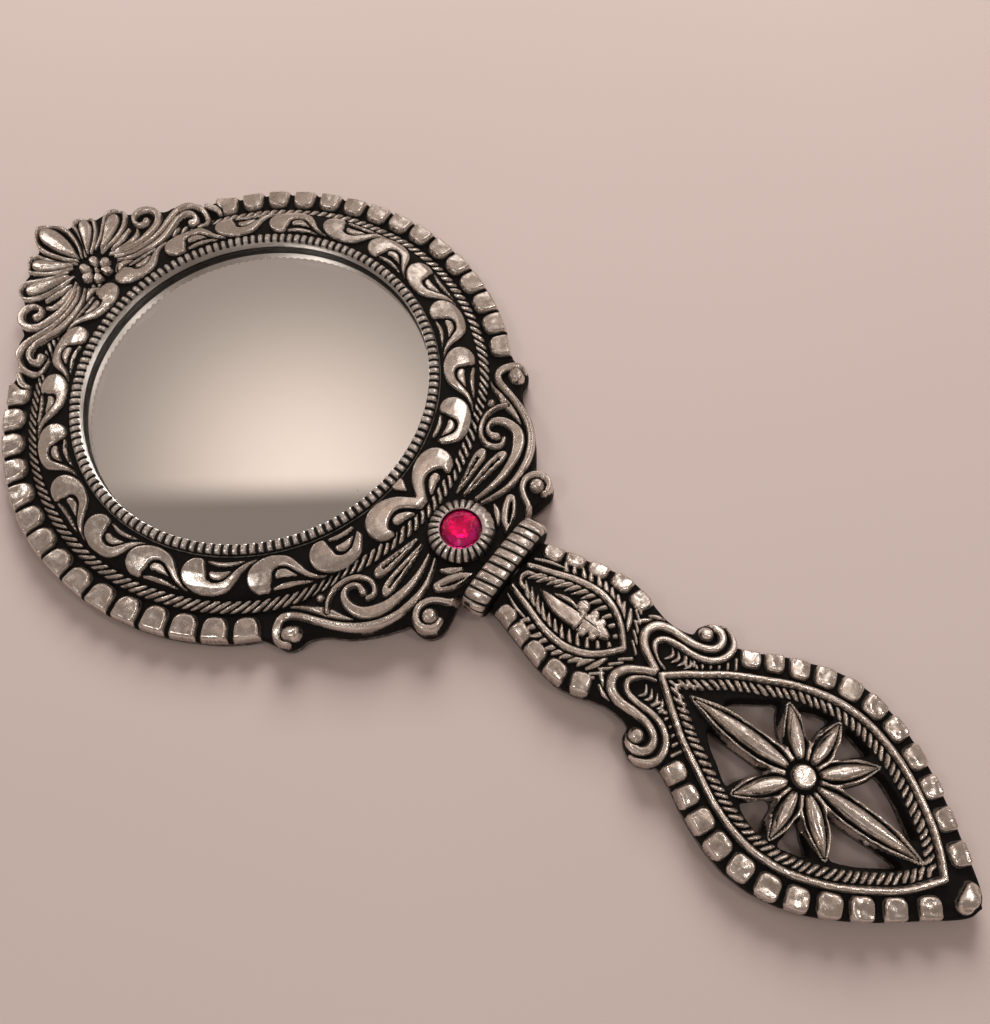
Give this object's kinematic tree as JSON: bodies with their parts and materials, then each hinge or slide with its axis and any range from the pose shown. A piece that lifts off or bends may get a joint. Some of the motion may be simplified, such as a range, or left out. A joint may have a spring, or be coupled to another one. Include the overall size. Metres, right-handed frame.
{
  "type": "hand mirror",
  "caption": "Hand mirror with a round glass in a domed, bead-edged cast metal head, leaf crest, red stone at the neck, ribbed collar and pierced leaf-shaped handle.",
  "frame": {"origin": "on the back cover's outer face, straight under the centre of the round glass; the mirror lies on its back on the plane z = 0", "axes": "+Z out of the glass, +Y from the centre of the glass to the leaf crest (the handle points to -Y), +X to the right seen from the front with the crest up"},
  "size_m": [0.113, 0.242, 0.0092],
  "materials": {
    "antiqued_casting": "cast white metal, blackened in the recesses and buffed bright on the high spots",
    "bezel_metal": "bright milled white metal with dark between the teeth",
    "clear_glass": "clear polished float glass with a ground edge",
    "silvering": "silvered reflecting layer",
    "felt": "dark pressed felt",
    "cover_metal": "antiqued sheet metal with a soft sheen and turned rings",
    "screw_brass": "dulled brass",
    "foil": "bright pink-silver foil",
    "red_stone": "faceted hot pink-red glass stone, polished",
    "dowel_steel": "plain turned steel"
  },
  "bodies": {
    "root": {"head_frame": "antiqued_casting", "milled_bezel": "bezel_metal", "mirror_glass": "clear_glass", "mirror_silvering": "silvering", "backing_pad": "felt", "back_plate": "cover_metal", "back_screws": "screw_brass", "gem_cup": "bezel_metal", "gem_foil": "foil", "gemstone": "red_stone", "neck_collar": "antiqued_casting", "neck_dowel": "dowel_steel", "dowel_pins": "screw_brass", "handle": "antiqued_casting"}
  },
  "joints": []
}
